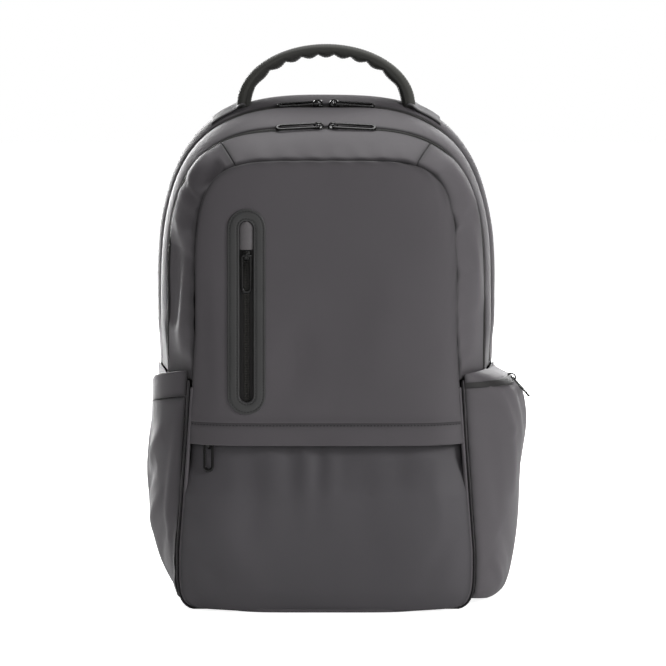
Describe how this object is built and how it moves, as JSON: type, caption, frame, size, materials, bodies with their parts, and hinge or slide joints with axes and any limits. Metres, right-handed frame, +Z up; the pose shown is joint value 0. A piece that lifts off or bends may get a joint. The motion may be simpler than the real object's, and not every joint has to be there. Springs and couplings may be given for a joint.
{
  "type": "laptop backpack",
  "caption": "Upright laptop backpack with an arched zipped body, padded grab handle, upright front zip pocket, hemmed lower pocket, open bottle pocket and a stuffed side pocket",
  "frame": {"origin": "middle of the bounding box's underside, on the surface that the bag stands on", "axes": "+Z is up, +X is the right side of the bag seen from its front, the front faces -Y and the straps +Y"},
  "size_m": [0.3432, 0.2304, 0.4892],
  "materials": {
    "cloth": "smooth dark warm grey coated cloth",
    "lining": "plain lining cloth",
    "zip_tape": "black tape with a nylon coil",
    "handle_cloth": "ribbed charcoal cloth over padding",
    "bonded_frame": "bonded film, slight sheen",
    "padded_mesh": "padded spacer mesh",
    "webbing": "woven tape",
    "strap_plastic": "moulded, satin",
    "zip_metal": "black, glossy"
  },
  "bodies": {
    "bag": {"back_panel": "padded_mesh", "back_gusset": "cloth", "main_zip": "zip_tape", "middle_gusset": "cloth", "front_zip": "zip_tape", "front_gusset_top": "cloth", "front_gusset_left": "cloth", "front_gusset_right": "cloth", "side_panel_left": "cloth", "side_panel_right": "cloth", "bottom_panel": "cloth", "divider": "lining", "pocket_back": "lining", "front_panel": "cloth", "pocket_frame": "bonded_frame", "pocket_zip": "zip_tape", "zip_garage": "cloth", "hem_flap": "cloth", "lower_zip": "zip_tape", "lower_pocket": "cloth", "left_pocket": "cloth", "left_pocket_hem": "cloth", "right_pocket": "cloth", "right_pocket_zip": "zip_tape", "right_pocket_top": "cloth", "handle_grip": "handle_cloth", "handle_anchor_left": "handle_cloth", "handle_anchor_right": "handle_cloth", "strap_yoke": "cloth", "shoulder_strap_left": "padded_mesh", "shoulder_strap_right": "padded_mesh", "strap_webbing_left": "webbing", "strap_webbing_right": "webbing", "ladder_lock_left": "strap_plastic", "ladder_lock_right": "strap_plastic", "strap_tab_left": "webbing", "strap_tab_right": "webbing", "main_left_slider": "zip_metal", "main_right_slider": "zip_metal", "front_left_slider": "zip_metal", "front_right_slider": "zip_metal", "pocket_slider": "zip_metal", "lower_slider": "zip_metal", "side_slider": "zip_metal"},
    "main_left_pull_body": {"main_left_pull": "zip_metal"},
    "main_right_pull_body": {"main_right_pull": "zip_metal"},
    "front_left_pull_body": {"front_left_pull": "zip_metal"},
    "front_right_pull_body": {"front_right_pull": "zip_metal"},
    "pocket_pull_body": {"pocket_pull": "zip_metal"},
    "lower_pull_body": {"lower_pull": "zip_metal"},
    "side_pull_body": {"side_pull": "zip_metal"}
  },
  "joints": [
    {"name": "main_left_pull_hinge", "type": "hinge", "parent": "bag", "child": "main_left_pull_body", "pos_m": [-0.0194, 0.01464, 0.43732], "axis": [-0.0006, 0.9514, 0.3081], "range_deg": [0, 100]},
    {"name": "main_right_pull_hinge", "type": "hinge", "parent": "bag", "child": "main_right_pull_body", "pos_m": [-0.00459, 0.01464, 0.43732], "axis": [-0.0006, -0.9514, -0.3081], "range_deg": [0, 100]},
    {"name": "front_left_pull_hinge", "type": "hinge", "parent": "bag", "child": "front_left_pull_body", "pos_m": [-0.0184, -0.03288, 0.41953], "axis": [-0.0002, 0.9053, 0.4247], "range_deg": [0, 100]},
    {"name": "front_right_pull_hinge", "type": "hinge", "parent": "bag", "child": "front_right_pull_body", "pos_m": [-0.0056, -0.03288, 0.41953], "axis": [-0.0002, -0.9053, -0.4247], "range_deg": [0, 100]},
    {"name": "pocket_pull_hinge", "type": "hinge", "parent": "bag", "child": "pocket_pull_body", "pos_m": [-0.0809, -0.08604, 0.30951], "axis": [-1, 0, 0], "range_deg": [0, 110]},
    {"name": "lower_pull_hinge", "type": "hinge", "parent": "bag", "child": "lower_pull_body", "pos_m": [-0.11405, -0.09281, 0.14512], "axis": [-0.9586, 0.2807, -0.0473], "range_deg": [0, 64]},
    {"name": "side_pull_hinge", "type": "hinge", "parent": "bag", "child": "side_pull_body", "pos_m": [0.15504, -0.0066, 0.19269], "axis": [-0.0172, -0.9996, -0.0201], "range_deg": [0, 110]}
  ]
}
